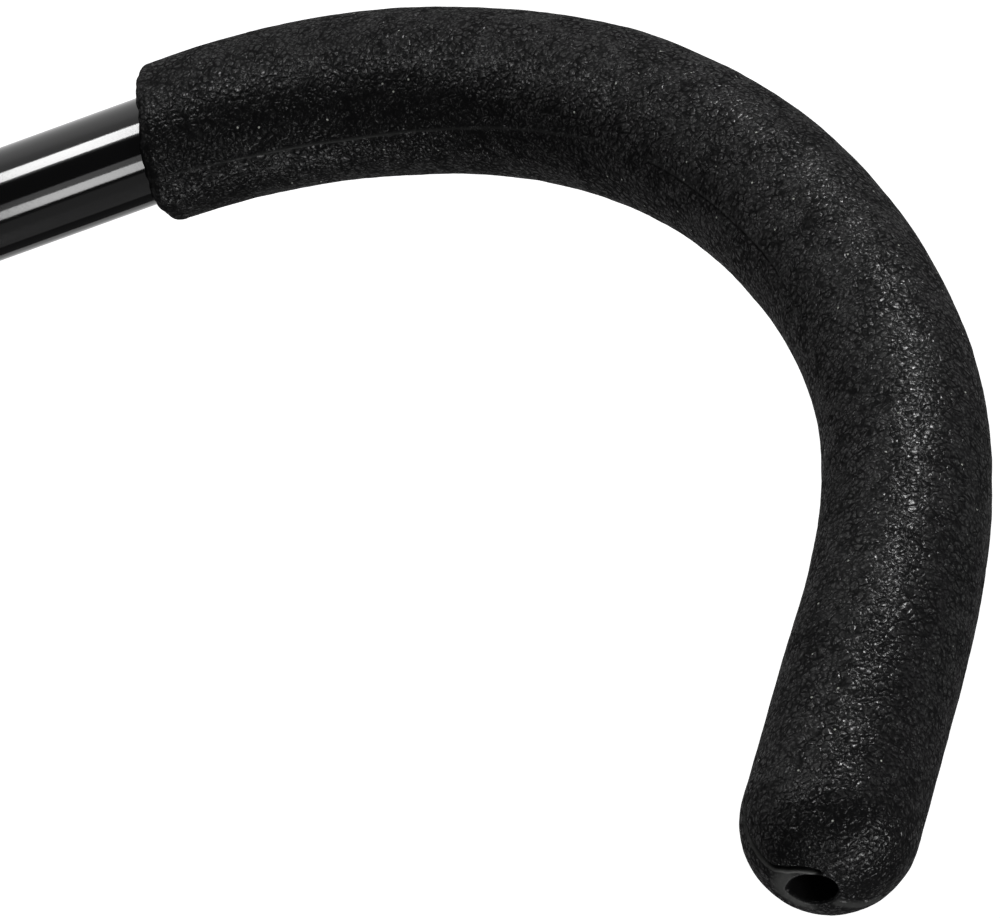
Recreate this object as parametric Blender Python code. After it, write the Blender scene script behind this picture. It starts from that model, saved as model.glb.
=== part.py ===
# Bicycle storage hook: one bent steel bar with a wood-screw end, and the soft sleeve on its hook.
#
# The wall's face is the plane Y = 0. The bar leaves the wall along -Y and its bend turns up,
# in the plane X = 0, so the wheel hangs on the bar with the tip in front of it. The screw runs
# into the wall along +Y. The origin is where the bar's centre line passes through the wall's face.
# Places along the bar are distances from the wall, measured on its centre line.

import math

import bmesh
import bpy
from mathutils import Vector

# Bar
BAR_DIAMETER = 0.010
STRAIGHT_LENGTH = 0.048  # wall to the start of the bend
BEND_RADIUS = 0.0585  # to the centre line
BEND_TURN = 115.0  # degrees
TIP_LENGTH = 0.0207  # end of the bend to the centre of the sleeve's round nose
BAR_END_CHAMFER = 0.0010

# Wood screw rolled on the bar's end
THREAD_LENGTH = 0.042
THREAD_PITCH = 0.0045
THREAD_CORE = 0.0070  # diameter between the crests
THREAD_CREST = 0.0003  # width of the flat on a crest
THREAD_ANGLE = 60.0  # degrees between a crest's two sides
THREAD_RUN_OUT = 0.0050  # length in which the core grows to the bar
THREAD_SET_IN = 0.0020  # plain bar between the wall's face and the thread
POINT_LENGTH = 0.0110
POINT_DIAMETER = 0.0010

# Sleeve
SLEEVE_WALL = 0.0023
SLEEVE_CLEARANCE = 0.0003  # between the bar and the sleeve's bore, all round
SLEEVE_LEAD = 0.0030  # sleeve on the straight bar before the bend
MOUTH_OUTER_ROUND = 0.0016
MOUTH_INNER_ROUND = 0.0005
NOSE_WALL = 0.0045
END_CLEARANCE = 0.0005  # between the bar's end and the end of the bore
VENT_DIAMETER = 0.0050

# Facets
BAR_SIDES = 24
SLEEVE_SIDES = 32
VENT_SIDES = 20
BEND_STEP = 5.0  # degrees
ROUND_STEPS = 4  # in a rounded edge
NOSE_STEPS = 8  # from the nose's side to its tip
MERGE = 1e-6

BAR_RADIUS = BAR_DIAMETER / 2
BORE_RADIUS = BAR_RADIUS + SLEEVE_CLEARANCE
SLEEVE_RADIUS = BORE_RADIUS + SLEEVE_WALL
BEND_LENGTH = BEND_RADIUS * math.radians(BEND_TURN)
BEND_END = STRAIGHT_LENGTH + BEND_LENGTH
SLEEVE_START = STRAIGHT_LENGTH - SLEEVE_LEAD
NOSE_CENTRE = BEND_END + TIP_LENGTH
BORE_END = NOSE_CENTRE + SLEEVE_RADIUS - NOSE_WALL
BAR_END = BORE_END - END_CLEARANCE


def clear_scene():
    for old in list(bpy.data.objects):
        bpy.data.objects.remove(old, do_unlink=True)


def make_material(name, colour, roughness, metallic):
    material = bpy.data.materials.new(name)
    material.use_nodes = True
    shader = material.node_tree.nodes["Principled BSDF"]
    shader.inputs["Base Color"].default_value = (*colour, 1.0)
    shader.inputs["Roughness"].default_value = roughness
    shader.inputs["Metallic"].default_value = metallic
    return material


def centre_line(along):
    """Point, direction and inward normal of the bar's centre line at a distance from the wall."""
    angle = min(max((along - STRAIGHT_LENGTH) / BEND_RADIUS, 0.0), math.radians(BEND_TURN))
    beyond = along - STRAIGHT_LENGTH - angle * BEND_RADIUS
    direction = Vector((0.0, -math.cos(angle), math.sin(angle)))
    inward = Vector((0.0, math.sin(angle), math.cos(angle)))
    bend_point = Vector(
        (
            0.0,
            -STRAIGHT_LENGTH - BEND_RADIUS * math.sin(angle),
            BEND_RADIUS * (1.0 - math.cos(angle)),
        )
    )
    return bend_point + beyond * direction, direction, inward


def surface_point(along, radius, turn):
    """Point at a radius from the centre line, turned about it by a share of a full turn."""
    centre, direction, inward = centre_line(along)
    sideways = direction.cross(inward)
    angle = 2.0 * math.pi * turn
    return centre + radius * (math.cos(angle) * inward + math.sin(angle) * sideways)


def along_bend(start, end):
    """Places from start to end, both included, with one for every step of the bend between them."""
    steps = math.ceil(BEND_TURN / BEND_STEP)
    places = [STRAIGHT_LENGTH + BEND_LENGTH * step / steps for step in range(steps + 1)]
    low, high = min(start, end), max(start, end)
    inside = [place for place in places if low + MERGE < place < high - MERGE]
    if start > end:
        inside.reverse()
    return [start, *inside, end]


def quarter_round(centre_along, centre_radius, size, first, last, steps):
    """Profile points of an arc, with its angles in degrees measured from along the bar."""
    points = []
    for step in range(steps + 1):
        angle = math.radians(first + (last - first) * step / steps)
        points.append(
            (centre_along + size * math.cos(angle), centre_radius + size * math.sin(angle))
        )
    return points


def add_turned_rows(mesh, profile, sides):
    """Rings of a turned profile that follows the bent centre line. A radius of 0 closes it."""
    rows = []
    for along, radius in profile:
        if radius < MERGE:
            rows.append([mesh.verts.new(centre_line(along)[0])] * sides)
        else:
            rows.append(
                [mesh.verts.new(surface_point(along, radius, side / sides)) for side in range(sides)]
            )
    for row, following in zip(rows, rows[1:]):
        for side in range(sides):
            beside = (side + 1) % sides
            corners = [row[side], row[beside], following[beside], following[side]]
            mesh.faces.new(list(dict.fromkeys(corners)))
    return rows


def thread_radius(along, height):
    """Radius of the screw at a place, for a height of 0 at the core and 1 at a crest."""
    thread_start = -THREAD_SET_IN
    point_start = thread_start - THREAD_LENGTH + POINT_LENGTH
    core = THREAD_CORE / 2
    run_out = min(max((along - thread_start) / THREAD_RUN_OUT + 1.0, 0.0), 1.0)
    core += (BAR_RADIUS - core) * run_out
    crest = BAR_RADIUS
    if along < point_start:
        sharpness = (point_start - along) / POINT_LENGTH
        core += (POINT_DIAMETER / 2 - core) * sharpness
        crest += (POINT_DIAMETER / 2 - crest) * sharpness**2
    return core + (crest - core) * height


def add_thread(mesh, sides):
    """Right-hand thread as a grid that follows its helix, so that each crest is a clean edge."""
    end = -THREAD_SET_IN
    start = end - THREAD_LENGTH
    depth = BAR_RADIUS - THREAD_CORE / 2
    flank = depth * math.tan(math.radians(THREAD_ANGLE / 2))
    turn_rows = [
        (0.0, 0.0),
        (THREAD_PITCH - THREAD_CREST - 2 * flank, 0.0),
        (THREAD_PITCH - THREAD_CREST - flank, 1.0),
        (THREAD_PITCH - flank, 1.0),
    ]
    turns = math.ceil(THREAD_LENGTH / THREAD_PITCH) + 1
    grid = []
    for turn in range(turns + 1):
        for offset, height in turn_rows:
            row = []
            for side in range(sides):
                lead = THREAD_PITCH * (turn - 1 + side / sides)
                along = min(max(start + lead + offset, start), end)
                radius = thread_radius(along, height)
                row.append(mesh.verts.new(surface_point(along, radius, side / sides)))
            grid.append(row)
    last = len(grid) - 1
    for number in range(last):
        for side in range(sides):
            beside = (side + 1) % sides
            shift = len(turn_rows) if beside == 0 else 0
            near = grid[min(number + shift, last)][beside]
            far = grid[min(number + 1 + shift, last)][beside]
            corners = [grid[number][side], near, far, grid[number + 1][side]]
            mesh.faces.new(list(dict.fromkeys(corners)))


def finish_object(name, mesh, material):
    bmesh.ops.remove_doubles(mesh, verts=mesh.verts, dist=MERGE)
    bmesh.ops.dissolve_degenerate(mesh, dist=MERGE, edges=mesh.edges)
    bmesh.ops.recalc_face_normals(mesh, faces=mesh.faces)
    data = bpy.data.meshes.new(name)
    mesh.to_mesh(data)
    mesh.free()
    data.materials.append(material)
    data.shade_smooth()
    data.set_sharp_from_angle(angle=math.radians(35.0))
    made = bpy.data.objects.new(name, data)
    bpy.context.scene.collection.objects.link(made)
    return made


def make_hook_rod(material):
    mesh = bmesh.new()
    thread_end = -THREAD_SET_IN
    thread_tip = thread_end - THREAD_LENGTH
    add_turned_rows(mesh, [(thread_tip, 0.0), (thread_tip, POINT_DIAMETER / 2)], BAR_SIDES)
    add_thread(mesh, BAR_SIDES)
    profile = [(place, BAR_RADIUS) for place in along_bend(thread_end, BAR_END - BAR_END_CHAMFER)]
    profile.append((BAR_END, BAR_RADIUS - BAR_END_CHAMFER))
    profile.append((BAR_END, 0.0))
    add_turned_rows(mesh, profile, BAR_SIDES)
    return finish_object("hook_rod", mesh, material)


def make_vent_cutter():
    tip, direction, _ = centre_line(NOSE_CENTRE + SLEEVE_RADIUS)
    mesh = bmesh.new()
    bmesh.ops.create_cone(
        mesh,
        cap_ends=True,
        segments=VENT_SIDES,
        radius1=VENT_DIAMETER / 2,
        radius2=VENT_DIAMETER / 2,
        depth=2 * (NOSE_WALL + END_CLEARANCE / 2),
    )
    data = bpy.data.meshes.new("vent_cutter")
    mesh.to_mesh(data)
    mesh.free()
    cutter = bpy.data.objects.new("vent_cutter", data)
    cutter.location = tip
    cutter.rotation_mode = "QUATERNION"
    cutter.rotation_quaternion = direction.to_track_quat("Z", "Y")
    cutter.hide_render = True
    cutter.display_type = "WIRE"
    bpy.context.scene.collection.objects.link(cutter)
    return cutter


def make_grip_sleeve(material):
    outer_round = min(MOUTH_OUTER_ROUND, 0.7 * SLEEVE_WALL)
    inner_round = min(MOUTH_INNER_ROUND, 0.25 * SLEEVE_WALL)
    profile = [(BORE_END, 0.0)]
    for place in along_bend(BORE_END, SLEEVE_START + inner_round):
        profile.append((place, BORE_RADIUS))
    centre = SLEEVE_START + inner_round
    profile += quarter_round(centre, BORE_RADIUS + inner_round, inner_round, 270, 180, 2)[1:]
    centre = SLEEVE_START + outer_round
    profile += quarter_round(
        centre, SLEEVE_RADIUS - outer_round, outer_round, 180, 90, ROUND_STEPS
    )
    for place in along_bend(centre, NOSE_CENTRE)[1:-1]:
        profile.append((place, SLEEVE_RADIUS))
    profile += quarter_round(NOSE_CENTRE, 0.0, SLEEVE_RADIUS, 90, 0, NOSE_STEPS)
    mesh = bmesh.new()
    add_turned_rows(mesh, profile, SLEEVE_SIDES)
    sleeve = finish_object("grip_sleeve", mesh, material)
    vent = sleeve.modifiers.new("vent", "BOOLEAN")
    vent.operation = "DIFFERENCE"
    vent.solver = "EXACT"
    vent.object = make_vent_cutter()
    return sleeve


def main():
    clear_scene()
    black_enamel = make_material("black_enamel", (0.012, 0.012, 0.013), 0.16, 0.0)
    soft_black = make_material("soft_black", (0.022, 0.022, 0.023), 0.62, 0.0)
    make_hook_rod(black_enamel)
    make_grip_sleeve(soft_black)


main()
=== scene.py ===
import math

import bpy
import numpy as np
from mathutils import Matrix, Vector


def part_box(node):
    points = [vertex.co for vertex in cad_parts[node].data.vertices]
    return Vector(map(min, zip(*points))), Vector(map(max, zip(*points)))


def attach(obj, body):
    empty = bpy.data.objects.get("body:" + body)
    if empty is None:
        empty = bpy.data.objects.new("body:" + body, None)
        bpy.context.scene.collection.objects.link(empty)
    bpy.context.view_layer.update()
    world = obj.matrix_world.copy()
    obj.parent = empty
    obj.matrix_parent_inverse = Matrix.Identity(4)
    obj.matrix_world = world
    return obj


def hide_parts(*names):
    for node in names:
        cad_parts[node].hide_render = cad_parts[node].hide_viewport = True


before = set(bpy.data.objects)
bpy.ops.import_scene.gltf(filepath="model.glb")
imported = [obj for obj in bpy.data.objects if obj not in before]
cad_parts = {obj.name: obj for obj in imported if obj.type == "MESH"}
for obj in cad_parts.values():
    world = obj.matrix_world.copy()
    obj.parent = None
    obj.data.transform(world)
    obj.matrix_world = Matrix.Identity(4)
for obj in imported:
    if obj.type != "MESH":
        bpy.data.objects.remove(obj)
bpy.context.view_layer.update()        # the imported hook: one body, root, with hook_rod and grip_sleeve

barRadius = float(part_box("hook_rod")[1][0])
sleeveRadius = float(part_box("grip_sleeve")[1][0])

# The line that bar and sleeve both follow. Places on it are distances from the wall.
hookLine = dict(
    straight=0.0480,  # wall to the start of the bend
    bendRadius=0.0585,
    bendTurn=math.radians(115.0),
    tip=0.0207,  # end of the bend to the centre of the round nose
)
bendEnd = hookLine["straight"] + hookLine["bendRadius"] * hookLine["bendTurn"]
noseCentre = bendEnd + hookLine["tip"]
towardsCamera = np.array((1.0, 0.0, 0.0))


def report(words):
    print("hook scene:", words)


def lineAt(along):
    # centre point, direction and inward normal, for one place or an array of them
    along = np.asarray(along, float)
    turn = np.clip((along - hookLine["straight"]) / hookLine["bendRadius"], 0.0, hookLine["bendTurn"])
    beyond = along - hookLine["straight"] - turn * hookLine["bendRadius"]
    zero = np.zeros_like(turn)
    ahead = np.stack((zero, -np.cos(turn), np.sin(turn)), -1)
    inward = np.stack((zero, np.sin(turn), np.cos(turn)), -1)
    bendY = -hookLine["straight"] - hookLine["bendRadius"] * np.sin(turn)
    bendZ = hookLine["bendRadius"] * (1.0 - np.cos(turn))
    return np.stack((zero, bendY, bendZ), -1) + beyond[..., None] * ahead, ahead, inward


def ringAt(along, radius, turns):
    # points round the line: turn 0 is inward, a quarter turn is towards the camera
    centre, ahead, inward = lineAt(np.broadcast_to(along, turns.shape))
    out = np.cos(turns)[:, None] * inward + np.sin(turns)[:, None] * towardsCamera
    return centre + np.broadcast_to(radius, turns.shape)[:, None] * out


def evenTurns(columns):
    return 2.0 * math.pi * np.arange(columns) / columns


def smoothStep(low, high, value):
    share = np.clip((value - low) / (high - low), 0.0, 1.0)
    return share * share * (3.0 - 2.0 * share)


def bump(value, centre, width):
    return np.exp(-(((value - centre) / width) ** 2))


def smoothed(values, width):
    # each value averaged with its neighbours; width is odd
    kernel = np.hanning(width)
    padded = np.pad(values, width // 2, mode="edge")
    return np.convolve(padded, kernel / kernel.sum(), mode="valid")


def gridObject(name, rows, closeRows, caps=()):
    # mesh from rows of points that close round their columns; caps are the rows filled with a fan
    rowCount, columns = rows.shape[:2]
    row, column = np.meshgrid(
        np.arange(rowCount if closeRows else rowCount - 1), np.arange(columns), indexing="ij"
    )
    nextRow = (row + 1) % rowCount
    nextColumn = (column + 1) % columns
    corners = (
        row * columns + column,
        row * columns + nextColumn,
        nextRow * columns + nextColumn,
        nextRow * columns + column,
    )
    faces = np.stack(corners, -1).reshape(-1, 4).tolist()
    points = rows.reshape(-1, 3).tolist()
    for capRow in caps:
        points.append(rows[capRow].mean(0).tolist())
        middle = len(points) - 1
        first = capRow * columns
        for side in range(columns):
            near, far = first + side, first + (side + 1) % columns
            faces.append((middle, far, near) if capRow == 0 else (middle, near, far))
    mesh = bpy.data.meshes.new(name)
    mesh.from_pydata(points, [], faces)
    mesh.shade_smooth()
    made = bpy.data.objects.new(name, mesh)
    bpy.context.scene.collection.objects.link(made)
    return made


def faceOutward(made):
    # a closed mesh that faces inward has a negative volume
    mesh = made.data
    mesh.calc_loop_triangles()
    points = np.empty(len(mesh.vertices) * 3)
    mesh.vertices.foreach_get("co", points)
    triangles = np.empty(len(mesh.loop_triangles) * 3, np.int64)
    mesh.loop_triangles.foreach_get("vertices", triangles)
    a, b, c = points.reshape(-1, 3)[triangles.reshape(-1, 3)].transpose(1, 0, 2)
    if np.einsum("ij,ij->i", a, np.cross(b, c)).sum() < 0.0:
        mesh.flip_normals()


# Sleeve

sleeve = dict(
    start=hookLine["straight"] - 0.0030,
    columns=180,
    columnCrowding=0.55,  # how much closer the columns stand beside the mould line
    mouthRows=10,
    tubeRows=342,
    noseRows=138,
    ventEdgeRows=4,
    ventRows=6,
    boreRows=46,
    mouthInnerRows=3,
    mouthRoundInside=0.0016,  # rounding of the cut end, on the inside of the bend and on the outside
    mouthRoundOutside=0.0008,
    mouthInnerRound=0.0005,
    mouthSlant=0.0011,  # how far the cut end leans, and the length over which the lean fades
    mouthSlantFade=0.016,
    mouthSlantSide=math.radians(-25.0),
    mouthWave=0.00012,
    mouthFray=0.00004,
    boreGap=0.0003,
    noseWall=0.0045,
    ventTilt=math.radians(9.4),  # where the vent sits on the nose, away from the tip
    ventSide=math.radians(117.4),
    ventTurn=math.radians(-32.0),
    ventLong=0.00208,  # half sizes of its oval mouth
    ventShort=0.00168,
    ventPoint=0.14,
    ventRound=0.00025,
    ventDepth=0.0036,
    ventEdgeGrain=0.3,
    mouldLineWidth=0.00012,
    mouldLineFull=0.14,  # rise in mm at which the line counts as a full ridge, or a full crease
    ridgePaintedHighlight=0.16,  # how far the mould line and the edges of creases take the painted highlight colour
    creaseEdgePlace=0.00030,
    creaseEdgePaintedHighlight=0.07,
    grooveDepth=0.00060,
    grooveWidth=0.00020,
    lowGroove=0.7,  # strength of the groove below the vent, against the one over it
    lipHeight=0.00011,
    lipWidth=0.00009,
    lipPlace=0.00024,
    lipPaintedHighlight=1.00,
    lipPaintedHighlightStart=0.35,  # the lip's painted highlight is weaker up to the vent
    # the flap by the vent gets a painted highlight, and the band beside the low groove half as much
    flapPaintedHighlight=0.28,
    flapReach=(1.35, 2.0),  # where the flap fades, in sizes of the vent
    flapStart=0.0002,
    lowBandStart=0.0003,  # the smooth band beside the low groove
    lowBandReach=(0.0006, 0.0012),
    unevenSize=0.0090,  # slow waves that the moulding leaves, and a soft pebble on them
    unevenHeight=0.00018,
    pebbleSize=0.0016,
    pebbleHeight=0.00009,
)
# Change of radius in mm, at places along the line in mm: the skin swells and thins round the bend
innerSwell = (
    (45, -0.66), (50, -0.34), (58, 0.02), (70, 0.22), (84, 0.10), (98, -0.05), (112, 0.0),
    (121, 0.06), (130, -0.15), (142, -0.46), (150, -0.34), (159, 0.0), (170, 0.10), (190, 0.08),
)
outerSwell = (
    (45, 0.16), (56, 0.08), (64, 0.0), (78, -0.02), (91, 0.21), (101, 0.05), (110, -0.07),
    (121, -0.29), (131, -0.22), (142, -0.09), (149, -0.12), (158, -0.32), (168, 0.0), (190, 0.0),
)
# The mould line: its angle from inward in degrees, and how far it stands up in mm
mouldLineTurn = (
    (45, 23), (55, 18), (66, 18), (76, 23), (88, 32), (97, 39), (113, 41), (124, 45),
    (150, 41), (176, 37), (186, 32), (200, 32),
)
mouldLineRise = (
    (45, 0.03), (52, 0.07), (58, 0.14), (68, 0.14), (77, 0.06), (97, 0.05), (101, 0.02),
    (105, -0.16), (125, -0.16), (130, 0.03), (168, 0.03), (172, 0.0), (200, 0.0),
)
# The mould line on the nose, as a groove: degrees from the tip and degrees round it
grooveOverVent = (
    (88, 43), (82, 41), (73, 38), (65, 36), (53, 39), (43, 41), (36, 44), (31, 50), (27, 68),
    (26.3, 90), (26, 112), (25, 124),
)
grooveBelowVent = ((17, 184), (21, 197), (29, 208), (38, 214), (52, 214))
curves = dict(
    tablePoints=400,  # dense points through a table above, and the width of their smoothing
    tableSmoothing=15,
    groovePoints=160,
    grooveSmoothing=11,
    grooveFadeIn=30,  # points over which a groove begins and ends
    grooveFadeOut=8,
)


def alongTable(pairs, along):
    # smooth curve through pairs of a place in mm and a value
    places, values = np.array(pairs, float).T
    fine = np.linspace(places[0], places[-1], curves["tablePoints"])
    dense = smoothed(np.interp(fine, places, values), curves["tableSmoothing"])
    return np.interp(along, fine * 0.001, dense)


def mouldTurn(along):
    return np.radians(alongTable(mouldLineTurn, along))


def columnTurns():
    # angles from the mould line, closest together beside it and opposite it
    even = evenTurns(sleeve["columns"])
    return even - 0.5 * sleeve["columnCrowding"] * np.sin(2.0 * even)


def nosePoint(fromTip, around):
    # direction out of the nose's centre
    centre, ahead, inward = lineAt(noseCentre)
    sideways = np.cos(around)[..., None] * inward + np.sin(around)[..., None] * towardsCamera
    return np.cos(fromTip)[..., None] * ahead + np.sin(fromTip)[..., None] * sideways


def ventFrame():
    # direction out of the vent, and the directions of its oval's long and short halves
    side = np.array(sleeve["ventSide"])
    out = nosePoint(np.array(sleeve["ventTilt"]), side)
    over = nosePoint(np.array(sleeve["ventTilt"] + math.pi / 2), side)
    across = np.cross(out, over)
    turnCos, turnSin = math.cos(sleeve["ventTurn"]), math.sin(sleeve["ventTurn"])
    return out, turnCos * across + turnSin * over, turnCos * over - turnSin * across


def ventRing(around, grow):
    # offsets of the vent's rim from its axis, one for each column; one end of the oval is pointed
    out, long, short = ventFrame()
    angle = np.arctan2(around @ short, around @ long)
    stretch = 1.0 + sleeve["ventPoint"] * bump(angle, 0.0, 0.35)
    return (
        (np.cos(angle) * (sleeve["ventLong"] + grow) * stretch)[:, None] * long
        + (np.sin(angle) * (sleeve["ventShort"] + grow))[:, None] * short
    )


def sleeveRows():
    # rows over the mouth's outer edge, along the tube, over the nose, in at the vent and back down
    # the bore; with each point's place on the line, and each row's share of the skin's grain
    turns = columnTurns()
    rows, places, skin = [], [], []

    def addRow(ring, place, share):
        rows.append(ring)
        places.append(np.broadcast_to(place, turns.shape))
        skin.append(share)

    def addRing(along, radius, share):
        addRow(ringAt(along, radius, mouldTurn(along) + turns), along, share)

    inside = 0.5 + 0.5 * np.cos(mouldTurn(sleeve["start"]) + turns)
    roundChange = sleeve["mouthRoundInside"] - sleeve["mouthRoundOutside"]
    rounding = sleeve["mouthRoundOutside"] + inside * roundChange
    for step in range(sleeve["mouthRows"]):
        share = step / (sleeve["mouthRows"] - 1)
        angle = 0.5 * math.pi * share
        along = sleeve["start"] + rounding * (1.0 - math.cos(angle))
        addRing(along, sleeveRadius - rounding * (1.0 - math.sin(angle)), share)
    first = sleeve["start"] + rounding
    for step in range(1, sleeve["tubeRows"] + 1):
        addRing(first + (noseCentre - first) * step / sleeve["tubeRows"], sleeveRadius, 1.0)

    centre = lineAt(noseCentre)[0]
    around = mouldTurn(noseCentre) + turns
    equator = nosePoint(np.full_like(turns, math.pi / 2), around)
    out = ventFrame()[0]
    rimOffset = ventRing(equator, sleeve["ventRound"])
    rimHeight = np.sqrt(sleeveRadius**2 - (rimOffset**2).sum(1, keepdims=True))
    rim = (rimOffset + rimHeight * out) / sleeveRadius
    sweep = np.arccos(np.clip((equator * rim).sum(1, keepdims=True), -1.0, 1.0))
    for step in range(1, sleeve["noseRows"] + 1):
        share = step / sleeve["noseRows"]
        ray = (np.sin((1.0 - share) * sweep) * equator + np.sin(share * sweep) * rim) / np.sin(sweep)
        addRow(centre + sleeveRadius * ray, noseCentre + share * sleeveRadius, 1.0)

    for step in range(1, sleeve["ventEdgeRows"] + 1):
        angle = 0.5 * math.pi * step / sleeve["ventEdgeRows"]
        offset = ventRing(equator, sleeve["ventRound"] * (1.0 - math.sin(angle)))
        drop = sleeve["ventRound"] * (1.0 - math.cos(angle))
        addRow(centre + offset + (rimHeight - drop) * out, noseCentre, sleeve["ventEdgeGrain"])
    offset = ventRing(equator, 0.0)
    for step in range(1, sleeve["ventRows"] + 1):
        share = step / sleeve["ventRows"]
        depth = sleeve["ventRound"] + (sleeve["ventDepth"] - sleeve["ventRound"]) * share
        addRow(centre + offset + (rimHeight - depth) * out, noseCentre, 0.0)

    boreEnd = noseCentre + sleeveRadius - sleeve["noseWall"]
    boreRadius = barRadius + sleeve["boreGap"]
    ventFloor = rows[-1]
    boreFloor = ringAt(boreEnd, boreRadius, around)
    for share in (0.35, 0.7):
        addRow(ventFloor * (1.0 - share) + boreFloor * share, noseCentre, 0.0)
    boreStart = sleeve["start"] + sleeve["mouthInnerRound"]
    for step in range(sleeve["boreRows"] + 1):
        addRing(boreEnd + (boreStart - boreEnd) * step / sleeve["boreRows"], boreRadius, 0.0)
    for step in range(1, sleeve["mouthInnerRows"] + 1):
        angle = 0.5 * math.pi * step / sleeve["mouthInnerRows"]
        along = boreStart - sleeve["mouthInnerRound"] * math.sin(angle)
        addRing(along, boreRadius + sleeve["mouthInnerRound"] * (1.0 - math.cos(angle)), 0.0)
    return np.array(rows), np.array(places), np.array(skin)


def outwardNormals(rows):
    acrossRows = np.roll(rows, -1, 0) - np.roll(rows, 1, 0)
    roundColumns = np.roll(rows, -1, 1) - np.roll(rows, 1, 1)
    normal = np.cross(roundColumns, acrossRows)
    normal /= np.maximum(np.linalg.norm(normal, axis=2, keepdims=True), 1e-12)
    middle = len(rows) // 3
    outside = rows[middle] - rows[middle].mean(0)
    return normal if (normal[middle] * outside).sum() > 0.0 else -normal


def tubeMarks(places, skin):
    # how far the points rise by the tables and the mould line, how much grain they keep and how much
    # painted highlight they take on the mould line and the crease edges; the mould line's second half is
    # opposite the first, as in a mould of two halves
    turns = columnTurns()[None, :]
    inside = 0.5 + 0.5 * np.cos(mouldTurn(places) + turns)
    rise = alongTable(innerSwell, places) * inside + alongTable(outerSwell, places) * (1.0 - inside)
    fromLine = sleeveRadius * np.abs(np.mod(turns + math.pi / 2, math.pi) - math.pi / 2)
    onLine = bump(fromLine, 0.0, sleeve["mouldLineWidth"])
    lineRise = alongTable(mouldLineRise, places)
    rise = (rise + lineRise * onLine) * 0.001 * skin
    ridge = np.clip(lineRise / sleeve["mouldLineFull"], 0.0, 1.0)
    crease = np.clip(-lineRise / sleeve["mouldLineFull"], 0.0, 1.0)
    beyondLine = sleeveRadius * (np.mod(turns + math.pi, 2.0 * math.pi) - math.pi)
    creaseEdge = crease * bump(beyondLine, sleeve["creaseEdgePlace"], sleeve["mouldLineWidth"])
    grain = skin * (1.0 - np.clip((ridge + crease) * onLine + 0.5 * creaseEdge, 0.0, 1.0))
    # painted highlight along the raised mould line and the edges of its crease
    pale = skin * (sleeve["ridgePaintedHighlight"] * ridge * onLine + sleeve["creaseEdgePaintedHighlight"] * creaseEdge)
    return rise, grain, pale


def grooveLine(path):
    # dense points along a groove on the nose
    share = np.linspace(0.0, 1.0, curves["groovePoints"])
    known = np.linspace(0.0, 1.0, len(path))
    fromTip, around = (
        np.radians(smoothed(np.interp(share, known, degrees), curves["grooveSmoothing"]))
        for degrees in np.array(path, float).T
    )
    return lineAt(noseCentre)[0] + sleeveRadius * nosePoint(fromTip, around)


def besideGroove(points, path):
    # for each point its distance from the groove, how far it is on the lip's side, the groove's
    # strength beside it and its share of the path
    line = grooveLine(path)
    aside = np.cross(np.gradient(line, axis=0), line - lineAt(noseCentre)[0])
    aside /= np.linalg.norm(aside, axis=1, keepdims=True)
    nearest = np.empty(len(points), int)
    part = 4000  # points at a time, to save memory
    for first in range(0, len(points), part):
        gap = ((points[first : first + part, None, :] - line[None, :, :]) ** 2).sum(2)
        nearest[first : first + part] = gap.argmin(1)
    reach = points - line[nearest]
    last = len(line) - 1.0
    strength = smoothStep(0.0, curves["grooveFadeIn"], nearest)
    strength = strength * smoothStep(0.0, curves["grooveFadeOut"], last - nearest)
    return np.linalg.norm(reach, axis=1), (reach * aside[nearest]).sum(1), strength, nearest / last


def noseMarks(points):
    # how far the nose's points rise, how much grain they keep and how much painted highlight they take
    # on the lip, the flap and the band beside the low groove
    distance, side, strength, along = besideGroove(points, grooveOverVent)
    lip = bump(distance, sleeve["lipPlace"], sleeve["lipWidth"]) * (side > 0.0) * strength
    groove = bump(distance, 0.0, sleeve["grooveWidth"]) * strength
    lowDistance, lowSide, lowStrength, lowAlong = besideGroove(points, grooveBelowVent)
    lowGroove = bump(lowDistance, 0.0, sleeve["grooveWidth"]) * lowStrength * sleeve["lowGroove"]
    rise = sleeve["lipHeight"] * lip - sleeve["grooveDepth"] * (groove + lowGroove)

    out, long, short = ventFrame()
    reach = points - lineAt(noseCentre)[0]
    alongOval = reach @ long / sleeve["ventLong"]
    acrossOval = reach @ short / sleeve["ventShort"]
    ovals = np.maximum(np.hypot(alongOval, acrossOval), 0.01)
    flap = (1.0 - smoothStep(*sleeve["flapReach"], ovals)) * smoothStep(0.0, 0.7, alongOval / ovals)
    flap *= smoothStep(0.0, sleeve["flapStart"], side)
    lowBand = lowStrength * smoothStep(0.0, sleeve["lowBandStart"], lowSide)
    lowBand *= 1.0 - smoothStep(*sleeve["lowBandReach"], lowDistance)
    smooth = np.clip(0.7 * flap + groove + lowGroove + lip + 0.6 * lowBand, 0.0, 1.0)
    overVent = smoothStep(0.60, 0.75, along)
    # painted highlight on the lip, the flap beside the vent and the band by the low groove
    lipPaintedHighlight = sleeve["lipPaintedHighlight"] * (sleeve["lipPaintedHighlightStart"] + (1.0 - sleeve["lipPaintedHighlightStart"]) * overVent)
    pale = sleeve["flapPaintedHighlight"] * (flap + 0.5 * lowBand) + lipPaintedHighlight * lip
    return rise, 1.0 - smooth, np.clip(pale, 0.0, 1.0) * (1.0 - groove)


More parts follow.
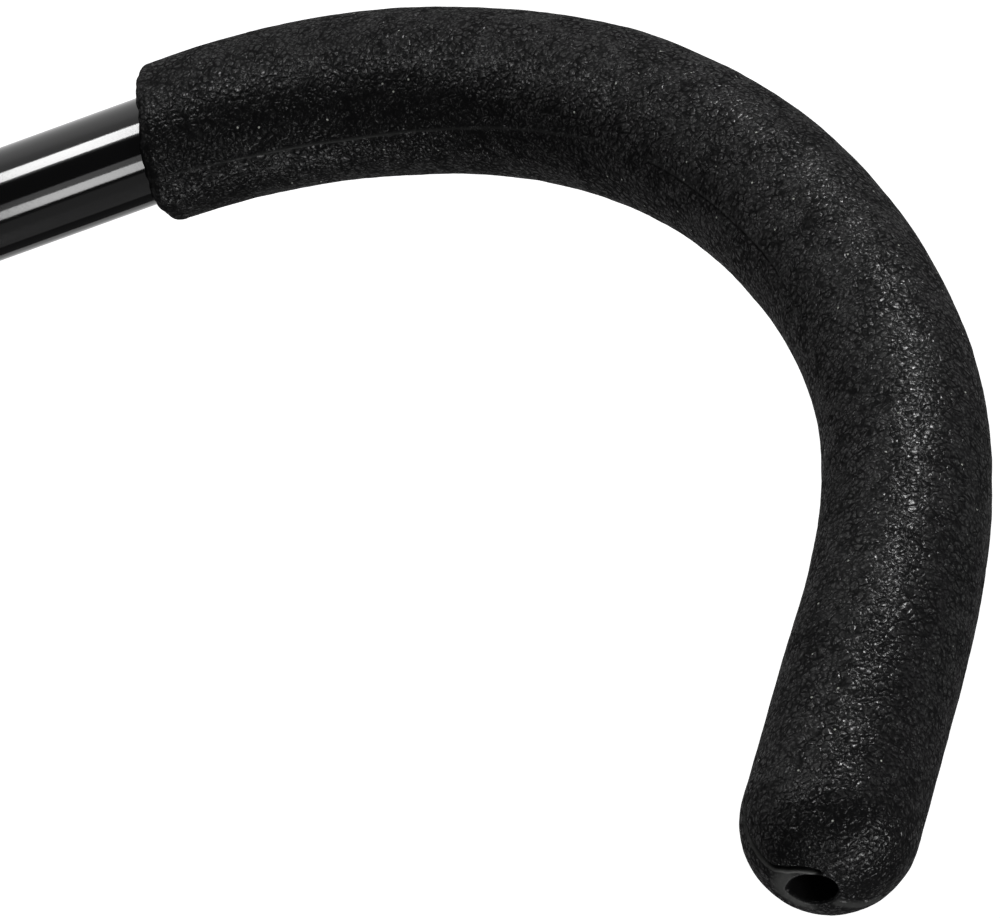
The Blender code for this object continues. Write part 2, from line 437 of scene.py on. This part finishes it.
def mouthLean(places):
    # how far the cut end leans, waves and frays, back along the line
    angle = mouldTurn(places) + columnTurns()[None, :]
    lean = sleeve["mouthSlant"] * np.cos(angle - sleeve["mouthSlantSide"])
    lean += sleeve["mouthWave"] * (np.sin(3.0 * angle + 0.6) + 0.7 * np.sin(7.0 * angle + 2.0))
    lean += sleeve["mouthFray"] * (np.sin(17.0 * angle) + np.sin(29.0 * angle + 1.3))
    return lean * (1.0 - smoothStep(0.0, sleeve["mouthSlantFade"], places - sleeve["start"]))


def addShare(made, name, values):
    attribute = made.data.attributes.new(name, "FLOAT", "POINT")
    attribute.data.foreach_set("value", np.ascontiguousarray(values, np.float32).ravel())


def addUnevenness(made, skin):
    # on the skin alone, not in the vent or the bore
    group = made.vertex_groups.new(name="skin")
    share = np.repeat(skin, sleeve["columns"])
    for level in np.unique(share):
        group.add(np.nonzero(share == level)[0].tolist(), float(level), "REPLACE")
    for name, size, height in (
        ("unevenMoulding", sleeve["unevenSize"], sleeve["unevenHeight"]),
        ("softPebble", sleeve["pebbleSize"], sleeve["pebbleHeight"]),
    ):
        texture = bpy.data.textures.new(name, "CLOUDS")
        texture.noise_scale = size
        moved = made.modifiers.new(name, "DISPLACE")
        moved.texture = texture
        moved.texture_coords = "LOCAL"
        moved.strength = height
        moved.mid_level = 0.5
        moved.vertex_group = "skin"


def makeSleeve():
    rows, places, skin = sleeveRows()
    rise, grain, pale = tubeMarks(places, skin[:, None])
    onNose = (places[:, :1].max(1) > noseCentre) & (skin > 0.0)
    noseRise, noseGrain, nosePaintedHighlight = noseMarks(rows[onNose].reshape(-1, 3))
    rise[onNose] += noseRise.reshape(-1, sleeve["columns"])
    grain[onNose] *= noseGrain.reshape(-1, sleeve["columns"])
    pale[onNose] += nosePaintedHighlight.reshape(-1, sleeve["columns"])
    rows = rows + rise[:, :, None] * outwardNormals(rows)
    rows = rows - mouthLean(places)[:, :, None] * lineAt(places)[1]

    made = gridObject("gripSleeve", rows, closeRows=True)
    addShare(made, "grainShare", grain)
    # share of the painted highlight
    addShare(made, "paintedHighlightShare", pale)
    faceOutward(made)
    addUnevenness(made, skin)
    report(f"sleeve of {len(made.data.polygons)} faces")
    return made


# Bar

bar = dict(
    columns=96,
    bendStep=0.0012,
    threadStep=0.00015,
    endGap=0.0005,  # bar's end to the end of the sleeve's bore
    endChamfer=0.0010,
    threadSetIn=0.0020,
    threadLength=0.0420,
    threadPitch=0.0045,
    threadCore=0.0035,  # radius between the crests
    threadCrest=0.0003,
    threadAngle=math.radians(60.0),
    threadSoftness=0.15,  # how far the paint rounds the crests
    runOut=0.0050,
    pointLength=0.0110,
    pointRadius=0.0005,
)


def threadRows(columns):
    end = -bar["threadSetIn"]
    start = end - bar["threadLength"]
    count = round(bar["threadLength"] / bar["threadStep"])
    turns = evenTurns(columns)
    flank = (barRadius - bar["threadCore"]) * math.tan(bar["threadAngle"] / 2)
    soft = bar["threadSoftness"]
    rows = []
    for step in range(count + 1):
        along = start + bar["threadLength"] * step / count
        phase = np.mod((along - start) / bar["threadPitch"] - turns / (2.0 * math.pi), 1.0)
        fromCrest = np.abs(phase - 0.5) * bar["threadPitch"]
        height = 1.0 - np.clip((fromCrest - bar["threadCrest"] / 2) / flank, 0.0, 1.0)
        height = (1.0 - soft) * height + soft * smoothStep(0.0, 1.0, height)
        intoRunOut = min(max((along - end) / bar["runOut"] + 1.0, 0.0), 1.0)
        core = bar["threadCore"] + (barRadius - bar["threadCore"]) * intoRunOut
        sharp = max((start + bar["pointLength"] - along) / bar["pointLength"], 0.0)
        core = core + (bar["pointRadius"] - core) * sharp
        crest = barRadius + (bar["pointRadius"] - barRadius) * sharp**2
        rows.append(ringAt(along, core + (crest - core) * height, turns))
    return rows


def makeBar():
    turns = evenTurns(bar["columns"])
    rows = threadRows(bar["columns"])
    barEnd = noseCentre + sleeveRadius - sleeve["noseWall"] - bar["endGap"]
    start = -bar["threadSetIn"]
    count = round((barEnd - bar["endChamfer"] - start) / bar["bendStep"])
    for step in range(1, count + 1):
        along = start + (barEnd - bar["endChamfer"] - start) * step / count
        rows.append(ringAt(along, barRadius, turns))
    rows.append(ringAt(barEnd, barRadius - bar["endChamfer"], turns))
    made = gridObject("bentBar", np.array(rows), closeRows=False, caps=(0, len(rows) - 1))
    faceOutward(made)
    made.data.set_sharp_from_angle(angle=math.radians(40.0))
    report(f"bar of {len(made.data.polygons)} faces")
    return made


# Materials

enamel = dict(
    colour=(0.0015, 0.0015, 0.0017, 1.0),
    roughness=0.09,
    specular=0.38,
    grainSize=0.00022,
    grainHeight=0.0000012,
)
skinFinish = dict(
    colour=(0.0045, 0.0045, 0.0047, 1.0),
    paintedGlintSpacing=0.00027,  # painted glints standing in for sparkle: small paler dots all over, on the domed cells
    paintedGlintRadius=0.00011,
    paintedGlintColour=(0.0500, 0.0510, 0.0490, 1.0),
    paintedHighlightColour=(0.1600, 0.1620, 0.1580, 1.0),  # painted highlight: the mould line, the edges of its crease, the lip by the nose groove, the flap at the vent and the band beside the low groove
    roughness=0.90,
    specular=0.0,
    filmWeight=0.155,  # thin shinier film that the mould leaves on the skin, but not down in the cracks
    filmInCracks=0.25,
    filmBetweenDomes=0.30,
    filmOnBare=0.30,
    filmRoughness=0.22,
    filmIor=2.4,
    crackStretch=0.0020,  # cracks open and close over about this length
    crackClosed=0.45,
    mottleSize=0.0060,  # patches with more film and less
    mottle=0.08,
    cellSize=0.00072,  # leather-like cells pressed in by the mould
    cellHeight=0.000045,
    cellEdge=0.30,  # share of a cell over which it domes up
    warpSize=0.0012,  # the cells are bent out of shape by waves of this size and depth
    warpDepth=0.000936,
    pimpleSize=0.00030,  # fine grit of small domes over the cells
    pimpleHeight=0.00004,
    grainSize=0.00022,  # crinkle that keeps the domes from being even
    grainHeight=0.00002,
    speckSpacing=0.0020,  # pale specks scattered over the grain
    speckRadius=0.00012,
    speckColour=(0.30, 0.31, 0.28, 1.0),
)


def newMaterial(name):
    material = bpy.data.materials.new(name)
    material.use_nodes = True
    tree = material.node_tree
    return material, tree, tree.nodes["Principled BSDF"]


def addNode(tree, kind, inputs=None, **settings):
    node = tree.nodes.new(kind)
    for key, value in settings.items():
        setattr(node, key, value)
    for key, value in (inputs or {}).items():
        node.inputs[key].default_value = value
    return node


def noiseAt(tree, place, size, detail):
    node = addNode(tree, "ShaderNodeTexNoise", {"Scale": 1.0 / size, "Detail": detail})
    tree.links.new(place, node.inputs["Vector"])
    return node


def cellsAt(tree, place, size, **settings):
    node = addNode(tree, "ShaderNodeTexVoronoi", {"Scale": 1.0 / size}, **settings)
    tree.links.new(place, node.inputs["Vector"])
    return node


def product(tree, first, second):
    node = addNode(tree, "ShaderNodeMath", operation="MULTIPLY")
    tree.links.new(first, node.inputs[0])
    tree.links.new(second, node.inputs[1])
    return node.outputs[0]


def mapped(tree, source, fromRange, toRange):
    # a value carried smoothly from one range to another
    node = addNode(tree, "ShaderNodeMapRange", interpolation_type="SMOOTHSTEP")
    node.inputs["From Min"].default_value, node.inputs["From Max"].default_value = fromRange
    node.inputs["To Min"].default_value, node.inputs["To Max"].default_value = toRange
    tree.links.new(source, node.inputs["Value"])
    return node.outputs["Result"]


def laidOver(tree, share, under, over):
    # a colour laid over a linked one by a share; 6 and 7 are the node's two colours
    node = addNode(tree, "ShaderNodeMix", {7: over}, data_type="RGBA")
    tree.links.new(under, node.inputs[6])
    tree.links.new(share, node.inputs[0])
    return node.outputs[2]


def enamelMaterial():
    material, tree, shader = newMaterial("blackEnamel")
    shader.inputs["Base Color"].default_value = enamel["colour"]
    shader.inputs["Roughness"].default_value = enamel["roughness"]
    shader.inputs["Specular IOR Level"].default_value = enamel["specular"]
    place = addNode(tree, "ShaderNodeTexCoord").outputs["Object"]
    grain = noiseAt(tree, place, enamel["grainSize"], 2.0)
    height = addNode(tree, "ShaderNodeBump", {"Strength": 1.0, "Distance": enamel["grainHeight"]})
    tree.links.new(grain.outputs["Fac"], height.inputs["Height"])
    tree.links.new(height.outputs["Normal"], shader.inputs["Normal"])
    return material


def warpedPlace(tree, place):
    # the place moved by a soft noise, so that the cells aren't straight-edged
    wander = noiseAt(tree, place, skinFinish["warpSize"], 2.0)
    centred = addNode(tree, "ShaderNodeVectorMath", {1: (0.5, 0.5, 0.5)}, operation="SUBTRACT")
    tree.links.new(wander.outputs["Color"], centred.inputs[0])
    bent = addNode(tree, "ShaderNodeVectorMath", {"Scale": skinFinish["warpDepth"]}, operation="SCALE")
    tree.links.new(centred.outputs[0], bent.inputs[0])
    moved = addNode(tree, "ShaderNodeVectorMath", operation="ADD")
    tree.links.new(place, moved.inputs[0])
    tree.links.new(bent.outputs[0], moved.inputs[1])
    return moved.outputs[0]


def skinNormal(tree, grainShare, domed, pimples, crinkle):
    # cells, then the domes on them, then the crinkle on those
    normal = None
    for height, distance, invert in (
        (domed, skinFinish["cellHeight"], False),
        (product(tree, pimples, pimples), skinFinish["pimpleHeight"], True),
        (crinkle, skinFinish["grainHeight"], False),
    ):
        raised = addNode(tree, "ShaderNodeBump", {"Distance": distance}, invert=invert)
        tree.links.new(grainShare, raised.inputs["Strength"])
        tree.links.new(height, raised.inputs["Height"])
        if normal is not None:
            tree.links.new(normal, raised.inputs["Normal"])
        normal = raised.outputs["Normal"]
    return normal


def filmOnSkin(tree, place, grainShare, cells, pimples):
    # weight of the film: less in open cracks, between domes, in patches and on bare places
    stretches = noiseAt(tree, place, skinFinish["crackStretch"], 1.0)
    opened = mapped(tree, stretches.outputs["Fac"], (0.38, 0.62), (skinFinish["crackClosed"], 1.0))
    cracks = product(tree, mapped(tree, cells, (0.03, 0.22), (1.0, 0.0)), opened)
    film = mapped(tree, cracks, (0.0, 1.0), (1.0, skinFinish["filmInCracks"]))
    domes = mapped(tree, pimples, (0.15, 0.70), (1.0, skinFinish["filmBetweenDomes"]))
    film = product(tree, film, domes)
    patches = noiseAt(tree, place, skinFinish["mottleSize"], 1.0)
    mottle = skinFinish["mottle"]
    mottled = mapped(tree, patches.outputs["Fac"], (0.35, 0.65), (1.0 - mottle, 1.0 + mottle))
    film = product(tree, film, mottled)
    film = product(tree, film, mapped(tree, grainShare, (0.0, 1.0), (skinFinish["filmOnBare"], 1.0)))
    weight = addNode(tree, "ShaderNodeMath", {1: skinFinish["filmWeight"]}, operation="MULTIPLY")
    tree.links.new(film, weight.inputs[0])
    return weight.outputs[0]


def skinColour(tree, place, grainShare, paintedHighlightShare, domed):
    # near black, with the painted glints, the pale specks and the painted highlights over it
    # painted glints: paler dots on the domed cells, standing in for sparkle
    glintCells = cellsAt(tree, place, skinFinish["paintedGlintSpacing"])
    glintEdge = skinFinish["paintedGlintRadius"] / skinFinish["paintedGlintSpacing"]
    isGlint = mapped(tree, glintCells.outputs["Distance"], (glintEdge * 0.4, glintEdge), (1.0, 0.0))
    glintLevel = addNode(tree, "ShaderNodeSeparateColor")
    tree.links.new(glintCells.outputs["Color"], glintLevel.inputs["Color"])
    paintedGlintShare = product(tree, isGlint, glintLevel.outputs["Red"])
    # the painted glints sit on the domes and fade where the grain share falls, so creases and smooth
    # marks stay darker
    paintedGlintShare = product(tree, product(tree, paintedGlintShare, domed), grainShare)
    ground = addNode(tree, "ShaderNodeRGB")
    ground.outputs[0].default_value = skinFinish["colour"]
    glinted = laidOver(tree, paintedGlintShare, ground.outputs[0], skinFinish["paintedGlintColour"])

    specks = cellsAt(tree, place, skinFinish["speckSpacing"])
    speckEdge = skinFinish["speckRadius"] / skinFinish["speckSpacing"]
    isSpeck = mapped(tree, specks.outputs["Distance"], (speckEdge * 0.6, speckEdge), (1.0, 0.0))
    specked = laidOver(tree, product(tree, isSpeck, grainShare), glinted, skinFinish["speckColour"])
    # painted highlight laid over the mould line and the marks on the nose
    return laidOver(tree, paintedHighlightShare, specked, skinFinish["paintedHighlightColour"])


def skinMaterial():
    material, tree, shader = newMaterial("softSkin")
    shader.inputs["Roughness"].default_value = skinFinish["roughness"]
    shader.inputs["Specular IOR Level"].default_value = skinFinish["specular"]
    shader.inputs["Coat Roughness"].default_value = skinFinish["filmRoughness"]
    shader.inputs["Coat IOR"].default_value = skinFinish["filmIor"]
    place = addNode(tree, "ShaderNodeTexCoord").outputs["Object"]
    grainShare = addNode(tree, "ShaderNodeAttribute", attribute_name="grainShare").outputs["Fac"]
    # share of the painted highlight on the mould line, the lip and the flap
    paintedHighlightShare = addNode(tree, "ShaderNodeAttribute", attribute_name="paintedHighlightShare").outputs["Fac"]
    warped = warpedPlace(tree, place)
    leather = cellsAt(tree, warped, skinFinish["cellSize"], feature="DISTANCE_TO_EDGE")
    cells = leather.outputs["Distance"]
    domed = mapped(tree, cells, (0.0, skinFinish["cellEdge"]), (0.0, 1.0))
    pimples = cellsAt(tree, warped, skinFinish["pimpleSize"]).outputs["Distance"]
    crinkle = noiseAt(tree, warped, skinFinish["grainSize"], 1.0).outputs["Fac"]
    normal = skinNormal(tree, grainShare, domed, pimples, crinkle)
    tree.links.new(normal, shader.inputs["Normal"])
    tree.links.new(normal, shader.inputs["Coat Normal"])
    film = filmOnSkin(tree, place, grainShare, cells, pimples)
    tree.links.new(film, shader.inputs["Coat Weight"])
    colour = skinColour(tree, place, grainShare, paintedHighlightShare, domed)
    tree.links.new(colour, shader.inputs["Base Color"])
    return material


# Studio

studio = dict(
    floorHeight=-0.42,
    floorReach=6.0,
    floorRings=(0.5, 2.0),
    coveSides=64,
    coveSteps=6,
    coveRound=0.8,
    coveHeight=1.0,
    skyLevel=0.08,
    floorGlow=0.79,
    floorRoughness=0.9,
    floorSpecular=0.1,
    paleFloor=(0.80, 0.80, 0.80, 1.0),
)
cameraView = dict(
    place=(0.52186, -0.17728, 0.51681),
    azimuth=math.radians(78.481),
    elevation=math.radians(41.178),
    roll=math.radians(168.195),
    focalPixels=8000.0,
    pictureWidth=1000.0,
    sensor=36.0,
    nearest=0.01,
    farthest=100.0,
)


def makeCamera():
    data = bpy.data.cameras.new("hookCamera")
    data.sensor_width = cameraView["sensor"]
    data.lens = cameraView["focalPixels"] / cameraView["pictureWidth"] * cameraView["sensor"]
    data.clip_start = cameraView["nearest"]
    data.clip_end = cameraView["farthest"]
    made = bpy.data.objects.new("hookCamera", data)
    azimuth, elevation = cameraView["azimuth"], cameraView["elevation"]
    back = Vector(
        (
            math.sin(azimuth) * math.cos(elevation),
            -math.cos(azimuth) * math.cos(elevation),
            math.sin(elevation),
        )
    )
    right = Vector((0.0, 0.0, 1.0)).cross(back).normalized()
    up = back.cross(right)
    roll = cameraView["roll"]
    rolledRight = math.cos(roll) * right + math.sin(roll) * up
    rolledUp = math.cos(roll) * up - math.sin(roll) * right
    turn = Matrix((rolledRight, rolledUp, back)).transposed()
    made.matrix_world = Matrix.Translation(cameraView["place"]) @ turn.to_4x4()
    bpy.context.scene.collection.objects.link(made)
    bpy.context.scene.camera = made
    report("camera set")


# Each lamp: the point it shines at, the way from there to it, its distance, its size along and
# across the bar in metres, and how bright its face looks. The enamel mirrors those aimed at the bar.
onBar = Vector((0.0, -0.038, 0.0))
onSleeve = Vector((0.0, -0.060, 0.030))
lamps = dict(
    barBand=dict(aim=onBar, toward=(0.967, 0.186, -0.162), away=0.60, size=(0.036, 0.222), shine=33.0),
    barGlow=dict(aim=onBar, toward=(0.352, 0.186, 0.917), away=0.60, size=(0.036, 0.180), shine=14.0),
    barGlowEdge=dict(aim=onBar, toward=(0.476, 0.186, 0.860), away=0.62, size=(0.036, 0.300), shine=2.0),
    barShade=dict(aim=onBar, toward=(-0.42, 0.186, 0.90), away=0.65, size=(0.10, 0.70), shine=0.35),
    sheen=dict(aim=onSleeve, toward=(0.66, -0.56, -0.50), away=0.65, size=(0.13, 0.13), shine=55.0),
    below=dict(aim=onSleeve, toward=(0.10, -0.24, -0.965), away=0.65, size=(0.26, 0.13), shine=17.0),
    above=dict(aim=onSleeve, toward=(0.05, -0.10, 1.00), away=0.9, size=(0.35, 0.35), shine=3.0),
    behind=dict(aim=onSleeve, toward=(-0.50, 0.45, 0.74), away=0.9, size=(0.35, 0.35), shine=6.0),
    noseSheen=dict(aim=onSleeve, toward=(-0.06, -0.58, 0.82), away=0.65, size=(0.26, 0.26), shine=12.0),
)


def addLamp(name, lamp):
    data = bpy.data.lights.new(name, "AREA")
    data.shape = "RECTANGLE"
    data.size, data.size_y = lamp["size"]
    data.energy = lamp["shine"] * data.size * data.size_y * math.pi
    away = Vector(lamp["toward"]).normalized()
    alongBar = (Vector((0.0, 1.0, 0.0)) - away * away.y).normalized()
    turn = Matrix((alongBar, away.cross(alongBar), away)).transposed().to_4x4()
    made = bpy.data.objects.new(name, data)
    made.matrix_world = Matrix.Translation(lamp["aim"] + away * lamp["away"]) @ turn
    made.visible_camera = False
    bpy.context.scene.collection.objects.link(made)


def paleMaterial():
    # shows white to the eye and in reflections, and lights and shades as a pale floor does
    material, tree, shader = newMaterial("paleCove")
    shader.inputs["Base Color"].default_value = studio["paleFloor"]
    shader.inputs["Roughness"].default_value = studio["floorRoughness"]
    shader.inputs["Specular IOR Level"].default_value = studio["floorSpecular"]
    path = addNode(tree, "ShaderNodeLightPath")
    seen = addNode(tree, "ShaderNodeMath", operation="MAXIMUM")
    seenToo = addNode(tree, "ShaderNodeMath", operation="MAXIMUM")
    tree.links.new(path.outputs["Is Camera Ray"], seen.inputs[0])
    tree.links.new(path.outputs["Is Glossy Ray"], seen.inputs[1])
    tree.links.new(seen.outputs[0], seenToo.inputs[0])
    tree.links.new(path.outputs["Is Transmission Ray"], seenToo.inputs[1])
    glow = addNode(tree, "ShaderNodeEmission", {"Strength": studio["floorGlow"]})
    added = addNode(tree, "ShaderNodeAddShader")
    mixed = addNode(tree, "ShaderNodeMixShader")
    tree.links.new(shader.outputs[0], added.inputs[0])
    tree.links.new(glow.outputs[0], added.inputs[1])
    tree.links.new(seenToo.outputs[0], mixed.inputs[0])
    tree.links.new(shader.outputs[0], mixed.inputs[1])
    tree.links.new(added.outputs[0], mixed.inputs[2])
    tree.links.new(mixed.outputs[0], tree.nodes["Material Output"].inputs["Surface"])
    return material


def makeCove():
    # round floor whose edge curves up into a low wall
    low, rounding = studio["floorHeight"], studio["coveRound"]
    flat = studio["floorReach"] - rounding
    turns = evenTurns(studio["coveSides"])
    ring = np.stack((np.cos(turns), np.sin(turns), np.zeros_like(turns)), -1)
    heights = [(radius, low) for radius in (*studio["floorRings"], flat)]
    for step in range(1, studio["coveSteps"] + 1):
        angle = 0.5 * math.pi * step / studio["coveSteps"]
        heights.append((flat + rounding * math.sin(angle), low + rounding * (1.0 - math.cos(angle))))
    heights.append((studio["floorReach"], low + studio["coveHeight"]))
    rows = [ring * radius + np.array((0.0, 0.0, height)) for radius, height in heights]
    cove = gridObject("paleCove", np.array(rows), closeRows=False, caps=(0,))
    cove.data.materials.append(paleMaterial())


def makeStudio():
    makeCove()
    world = bpy.data.worlds.new("studioSky")
    world.use_nodes = True
    background = world.node_tree.nodes["Background"]
    background.inputs["Color"].default_value = (1.0, 1.0, 1.0, 1.0)
    background.inputs["Strength"].default_value = studio["skyLevel"]
    bpy.context.scene.world = world
    for name, lamp in lamps.items():
        addLamp(name, lamp)
    bpy.context.scene.view_settings.view_transform = "Standard"
    report("studio set")


def buildHook():
    bentBar = makeBar()
    bentBar.data.materials.append(enamelMaterial())
    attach(bentBar, "root")
    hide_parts("hook_rod")
    gripSleeve = makeSleeve()
    gripSleeve.data.materials.append(skinMaterial())
    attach(gripSleeve, "root")
    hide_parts("grip_sleeve")
    report("hook dressed")


makeCamera()
buildHook()
makeStudio()
